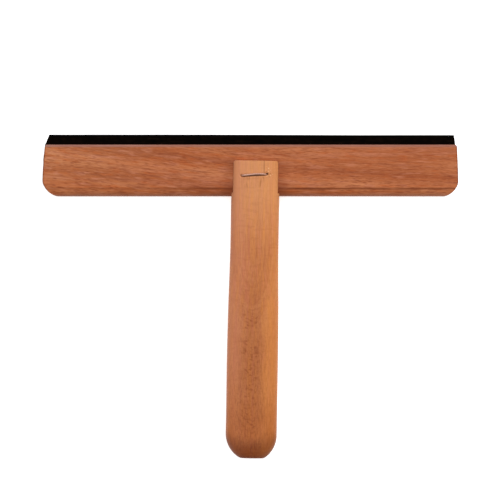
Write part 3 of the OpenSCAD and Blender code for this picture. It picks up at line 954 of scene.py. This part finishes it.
def gripColour(axes, sideways, blotch, colour):  # a pale top, a grip that darkens towards the tip, painted shade down the middle and on the rounded tip, painted light on the right side and painted sheen on the left
    wearAndShade = handleWearAndShade
    x, y, z = axes
    grip = (y + (blotch - 0.5) * wearAndShade["gripWave"]).rise(*wearAndShade["gripReach"])
    colour = colour.coat(wearAndShade["grip"], grip)
    fibre = patches(axes, wearAndShade["fibre"], 2.0, 0.6)
    speckle = patches(axes, wearAndShade["speckleSize"], 1.0)
    onGrip, elsewhere = wearAndShade["darkFibreShares"]
    colour = colour.tint(wearAndShade["darkFibre"], fibre.rise(*wearAndShade["darkFibreReach"]) * (grip * onGrip + elsewhere))
    onGrip, elsewhere = wearAndShade["paleFibreShares"]
    colour = colour.tint(wearAndShade["paleFibre"], fibre.rise(*wearAndShade["paleFibreReach"]) * (grip * onGrip + elsewhere))
    colour = colour.coat(wearAndShade["speckle"], speckle.rise(*wearAndShade["speckleReach"]) * grip)
    fade = y.rise(*wearAndShade["fadeReach"]) * (1 - wearAndShade["fadeLow"]) + wearAndShade["fadeLow"]
    # painted shade down the middle of the rounded grip, weaker towards the tip
    middle = abs(sideways - wearAndShade["middleAt"]).rise(*wearAndShade["middleReach"]) * fade
    colour = colour.coat(wearAndShade["middle"], grip * middle, "MULTIPLY")
    # painted shade on the rounded tip
    tipEdge = y + (blotch - 0.5) * wearAndShade["tipWave"] - sideways * sideways * wearAndShade["tipCurve"]
    colour = colour.coat(wearAndShade["tip"], tipEdge.rise(*wearAndShade["tipReach"]), "MULTIPLY")
    colour = colour.coat(wearAndShade["lower"], y.rise(*wearAndShade["lowerFrom"]) * y.rise(*wearAndShade["lowerTo"]), "MULTIPLY")
    colour = colour.coat(wearAndShade["top"], y.rise(*wearAndShade["topReach"]))
    sideEdge = sideways + (blotch - 0.5) * wearAndShade["sideWave"]
    shown = z.rise(*wearAndShade["sideHeight"]) * fade
    # painted light on the handle's right side, stronger on the grip
    onGrip, elsewhere = wearAndShade["paintedRightLightShares"]
    paintedRightLight = sideEdge.rise(*wearAndShade["paintedRightLightReach"]) * shown * (grip * onGrip + elsewhere)
    colour = colour.tint(wearAndShade["paintedRightLight"], paintedRightLight)
    # painted sheen on the handle's left side
    colour = colour.coat(wearAndShade["paintedLeftSheen"], sideEdge.rise(*wearAndShade["paintedLeftSheenReach"]) * shown)
    return colour, grip


def brownMarks(axes, sideways, colour):
    wearAndShade = handleWearAndShade
    x, y, z = axes
    wide, long, deep = wearAndShade["markSize"]
    curve = sideways * sideways * wearAndShade["markCurve"]
    markPlace = sideways.joined(sideways * (1 / wide), y * (1 / long) - curve, z * (1 / deep))
    cluster = patches(axes, wearAndShade["cluster"], 1.0).rise(*wearAndShade["clusterReach"])
    field = abs(sideways - wearAndShade["fieldAt"]).rise(*wearAndShade["fieldAcross"]) * y.rise(*wearAndShade["fieldDown"])
    field = field * z.rise(*wearAndShade["fieldFace"]) * cluster
    return colour.coat(wearAndShade["mark"], markPlace.grainNoise(1.0, 0.0).rise(*wearAndShade["markReach"]) * field)


def stapleScarsAndShade(axes, blotch, colour):  # the split, the bruises, painted shadow under the wire and painted shade in its holes
    wearAndShade = handleWearAndShade
    x, y, z = axes
    face = z.rise(*wearAndShade["face"])

    def area(at, acrossReach, alongReach):
        return abs(x - at[0]).rise(*acrossReach) * abs(y - at[1]).rise(*alongReach) * face

    split = abs(x - wearAndShade["splitAt"] - (blotch - 0.5) * wearAndShade["splitWave"]).rise(*wearAndShade["splitReach"])
    colour = colour.coat(wearAndShade["split"], split * y.rise(*wearAndShade["splitFrom"]) * face)
    speck = stretched(axes, wearAndShade["speck"])
    spots = speck.cells().rise(*wearAndShade["speckReach"])
    pick = speck.cells(out=1).split()[0]
    bruise = area(wearAndShade["bruiseAt"], wearAndShade["bruiseAcross"], wearAndShade["bruiseAlong"])
    colour = colour.coat(wearAndShade["darkSpeck"], spots * pick.rise(*wearAndShade["darkPick"]) * bruise)
    colour = colour.coat(wearAndShade["paleSpeck"], spots * pick.rise(*wearAndShade["palePick"]) * bruise)
    dents = patches(axes, wearAndShade["dentSize"], 1.0).rise(*wearAndShade["dentReach"])
    pressed = area(wearAndShade["pressedAt"], wearAndShade["pressedAcross"], wearAndShade["pressedAlong"])
    colour = colour.coat(wearAndShade["dent"], dents * pressed)

    turn = math.radians(stapleSize["slope"])
    fromX, fromY = x - stapleSize["x"], y - stapleSize["y"]
    u = fromX * math.cos(turn) + fromY * math.sin(turn)
    v = fromY * math.cos(turn) - fromX * math.sin(turn) - stapleSize["bow"]
    half = stapleSize["crown"] / 2
    outer, inner = wearAndShade["underEnds"]
    # painted shadow under the wire's crown, patchy
    under = abs(v - wearAndShade["underAt"]).rise(*wearAndShade["underReach"]) * abs(u).rise(half + outer, half + inner)
    under = under * face
    colour = colour.tint(wearAndShade["under"], under * (wearAndShade["underLow"] + blotch * wearAndShade["underBlotch"]))
    # painted shade in the holes where the wire's ends go into the wood
    rightPit = abs(u - half - wearAndShade["rightPit"]).rise(*wearAndShade["rightPitReach"])
    leftPit = abs(u + half - wearAndShade["leftPit"]).rise(*wearAndShade["leftPitReach"]) * wearAndShade["leftPitShare"]
    pit = (rightPit + leftPit) * abs(v - wearAndShade["pitAlong"]).rise(*wearAndShade["pitWide"]) * face
    return colour.coat(wearAndShade["pit"], pit.atMost(1.0))


def handleMarksAndShade(axes, colour, rough):
    wearAndShade = handleWearAndShade
    x, y, z = axes
    blotch = patches(axes, wearAndShade["blotch"], 3.0)
    sideways = x - y * wearAndShade["lean"] - wearAndShade["axisAt"]
    colour, grip = gripColour(axes, sideways, blotch, colour)
    colour = brownMarks(axes, sideways, colour)
    colour = stapleScarsAndShade(axes, blotch, colour)
    return colour, rough - grip * wearAndShade["gripPolish"]


barBeech = {
    "grainAxis": "X", "slopeLeft": 0.105, "slopeRight": 0.03, "sway": 5.0,
    "pithAcross": 22.0, "pithHeight": -38.0, "pithRise": 0.012, "pithDepth": 55.0,
    "archRise": 0.0, "archReach": (-10.0, 10.0), "ringWidth": 2.4, "bandWidth": 8.0,
    "contrast": 1.6, "hueStrength": 0.3, "streakWidth": 3.0, "flameStrength": 0.62,
    "lateStrength": 0.34, "fibreStrength": 0.5, "threadStrength": 0.5, "rippleStrength": 0.0,
    "dashStrength": 0.46, "dashLength": 5.0, "dashWidth": 0.72, "dashGap": 0.15, "reliefDepth": 0.10,
    "ramp": ((0.22, shade(136, 66, 30)), (0.45, shade(160, 86, 46)),
             (0.62, shade(176, 102, 60)), (0.85, shade(192, 120, 78))),
    "orange": shade(172, 84, 36), "pink": shade(184, 112, 80), "late": shade(134, 62, 28),
    "dark": shade(122, 54, 24), "pale": shade(198, 128, 90), "dash": shade(112, 42, 16),
    "endFaceOilAndShade": shade(164, 128, 108), "sideShade": shade(124, 72, 44), "sideShadeReach": (15.0, 11.5),
    "marksAndShade": barMarksAndShade,
}

handleBeech = {
    "grainAxis": "Y", "slopeRight": 0.0175, "sway": 2.2,
    "pithAcross": 2.4, "pithHeight": 2.0, "pithRise": 0.02, "pithDepth": 18.0,
    "archRise": 8.0, "archReach": (-125.0, -60.0), "ringWidth": 1.3, "bandWidth": 4.5,
    "contrast": 1.45, "hueStrength": 0.55, "streakWidth": 1.8, "flameStrength": 0.4,
    "lateStrength": 0.24, "fibreStrength": 0.38, "threadStrength": 0.26, "rippleStrength": 0.28,
    "dashStrength": 0.16, "dashLength": 5.0, "dashWidth": 0.95, "dashGap": 0.35, "reliefDepth": 0.10,
    "ramp": ((0.22, shade(172, 100, 56)), (0.45, shade(192, 122, 74)),
             (0.62, shade(202, 134, 84)), (0.85, shade(214, 148, 98))),
    "orange": shade(208, 130, 62), "pink": shade(198, 118, 86), "late": shade(160, 88, 46),
    "dark": shade(158, 88, 50), "pale": shade(220, 154, 108), "dash": shade(134, 70, 34),
    "endFaceOilAndShade": shade(164, 128, 108), "sideShade": shade(134, 84, 54), "sideShadeReach": (15.5, 10.5),
    "marksAndShade": handleMarksAndShade,
}

rubberLook = {
    "drawn": (40, 1 / 2.2, 1 / 2.2), "dust": (4, 2, 2), "skinScale": 5.0,
    "ramp": ((0.36, shade(2, 1, 0)), (0.5, shade(7, 3, 1)), (0.64, shade(19, 12, 7))),
    "root": (shade(24, 8, 3), 0.7), "rootReach": (20.2, 18.8),
    "edge": (shade(2, 2, 1), 0.85), "edgeReach": (24.3, 25.2),
    "roughness": 0.5, "bumpStrength": 0.35, "bumpDepth": 0.06,
}


def rubberFinish():
    look = rubberLook
    material, place, shader = newFinish("blackRubber", Specular_IOR_Level=0.013)
    x, y, z = place.split()
    drawn = patches((x, y, z), look["drawn"], 3.0)
    dust = patches((x, y, z), look["dust"], 4.0, 0.6)
    skinGrain = place.grainNoise(look["skinScale"], 2.0, 0.6)
    colour = (drawn * 0.5 + dust * 0.45).ramp(*look["ramp"])
    colour = colour.coat(look["root"], y.rise(*look["rootReach"]))
    colour = colour.coat(look["edge"], y.rise(*look["edgeReach"]))
    bump = emboss(drawn * 0.6 + skinGrain * 0.4, look["bumpStrength"], look["bumpDepth"])
    feed(shader, Base_Color=colour, Roughness=look["roughness"] + dust * 0.2 + drawn * 0.08, Normal=bump)
    return material


wireLook = {
    "drawn": (2.5, 0.2, 0.2), "tarnishScale": 1.1, "spotScale": 3.2,
    "rust": shade(96, 50, 28), "rustReach": (0.52, 0.66), "rustDulls": 0.5,
    "roughness": 0.38, "bumpStrength": 0.4, "bumpDepth": 0.03,
}
stapleTones = {
    "ramp": ((0.3, shade(172, 126, 106)), (0.6, shade(200, 156, 136)), (0.8, shade(216, 180, 162))),
    "rusty": 0.4, "metallic": 0.5,
}
bradTones = {
    "ramp": ((0.3, shade(120, 112, 106)), (0.6, shade(160, 152, 146)), (0.8, shade(190, 184, 178))),
    "rusty": 0.9, "metallic": 0.85,
}


def wireFinish(name, tones):
    look = wireLook
    material, place, shader = newFinish(name, Specular_IOR_Level=0.5)
    drawn = patches(place.split(), look["drawn"])
    tarnish = place.grainNoise(look["tarnishScale"], 4.0, 0.6)
    spots = place.grainNoise(look["spotScale"], 3.0, 0.6)
    rust = spots.rise(*look["rustReach"]) * tones["rusty"]
    colour = (tarnish * 0.7 + drawn * 0.3).ramp(*tones["ramp"]).tint(look["rust"], rust)
    rough = look["roughness"] + tarnish * 0.25 + rust * 0.3
    bump = emboss(spots * 0.5 + drawn * 0.5, look["bumpStrength"], look["bumpDepth"])
    metallic = tones["metallic"] - rust * look["rustDulls"]
    feed(shader, Base_Color=colour, Metallic=metallic, Roughness=rough, Normal=bump)
    return material


def glueFinish():
    material, place, shader = newFinish("setGlue", Specular_IOR_Level=0.5)
    cloud = place.grainNoise(0.6, 3.0)
    colour = cloud.ramp((0.3, shade(170, 128, 74)), (0.7, shade(206, 172, 118)))
    feed(shader, Base_Color=colour, Roughness=0.35 + cloud * 0.3, Normal=emboss(cloud, 0.3, 0.05))
    return material


barFinish = beechFinish("barBeech", barBeech)
handleFinish = beechFinish("handleBeech", handleBeech)
stripFinish = rubberFinish()
stapleFinish = wireFinish("stapleWire", stapleTones)
bradFinish = wireFinish("bradWire", bradTones)
filmFinish = glueFinish()
print("finishes made")


def paint(piece, finish):
    piece.data.materials.clear()
    piece.data.materials.append(finish)
    return piece


def install(piece, node):
    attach(piece, "root")
    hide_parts(node)
    print(piece.name, len(piece.data.polygons), "faces")


install(paint(makeBar(), barFinish), "head_bar")
install(paint(makeHandle(), handleFinish), "handle")
install(paint(makeBlade(), stripFinish), "rubber_blade")
install(paint(makeStaple(), stapleFinish), "crown_staple")
install(makeBrads(bradFinish), "blade_brads")
paint(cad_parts["glue_film"], filmFinish)
print("pieces installed")


studio = {
    "floorSize": 6.0, "floorTone": 0.9, "floorGlow": 0.66, "floorGrain": 0.01,
    "keyPlace": (0.55, 1.25, 1.55), "keySize": 1.3, "keyPower": 27.0,
    "topPlace": (0.0, 0.0, 2.6), "topSize": 2.4, "topPower": 30.0,
    "aim": (0, -0.06, 0), "worldTone": 0.33,
    "cameraX": -0.25, "cameraY": -57.4, "cameraHeight": 1600.0, "cameraSpan": 360.65, "cameraPlane": 14.5,
    "sensor": 36.0,
}


def makeStage():
    half = studio["floorSize"] / 2
    corners = [(-half, -half, 0), (half, -half, 0), (half, half, 0), (-half, half, 0)]
    mesh = bpy.data.meshes.new("paleTable")
    mesh.from_pydata(corners, [], [(0, 1, 2, 3)])
    table = bpy.data.objects.new("paleTable", mesh)
    bpy.context.scene.collection.objects.link(table)
    material, place, shader = newFinish("palePaper", Specular_IOR_Level=0.1,
                                        Emission_Strength=studio["floorGlow"], Emission_Color=(1, 1, 1, 1))
    grain = studio["floorGrain"]
    tone = place.grainNoise(0.02, 2.0) * grain + (studio["floorTone"] - grain / 2)
    feed(shader, Base_Color=place.joined(tone, tone, tone), Roughness=tone * 0.8)
    mesh.materials.append(material)


def makeLamp(name, place, size, power):
    lamp = bpy.data.lights.new(name, "AREA")
    lamp.shape = "SQUARE"
    lamp.size = size
    lamp.energy = power
    holder = bpy.data.objects.new(name, lamp)
    holder.location = place
    holder.rotation_euler = (Vector(studio["aim"]) - Vector(place)).to_track_quat("-Z", "Y").to_euler()
    bpy.context.scene.collection.objects.link(holder)


def makeRoom():
    world = bpy.data.worlds.new("softRoom")
    world.use_nodes = True
    background = world.node_tree.nodes["Background"]
    background.inputs["Color"].default_value = (1, 1, 1, 1)
    background.inputs["Strength"].default_value = studio["worldTone"]
    bpy.context.scene.world = world
    bpy.context.scene.view_settings.view_transform = "Standard"
    bpy.context.scene.view_settings.look = "None"


def makeCamera():  # it looks straight down on the squeegee
    lens = bpy.data.cameras.new("camera")
    lens.sensor_width = studio["sensor"]
    lens.lens = studio["sensor"] * studio["cameraHeight"] / studio["cameraSpan"]
    lens.clip_end = 20.0
    camera = bpy.data.objects.new("camera", lens)
    camera.location = (studio["cameraX"] * mm, studio["cameraY"] * mm,
                       (studio["cameraHeight"] + studio["cameraPlane"]) * mm)
    camera.rotation_euler = (0, 0, 0)
    bpy.context.scene.collection.objects.link(camera)
    bpy.context.scene.camera = camera


makeStage()
makeLamp("keyLamp", studio["keyPlace"], studio["keySize"], studio["keyPower"])
makeLamp("topLamp", studio["topPlace"], studio["topSize"], studio["topPower"])
makeRoom()
makeCamera()
print("stage, lamps and camera set")
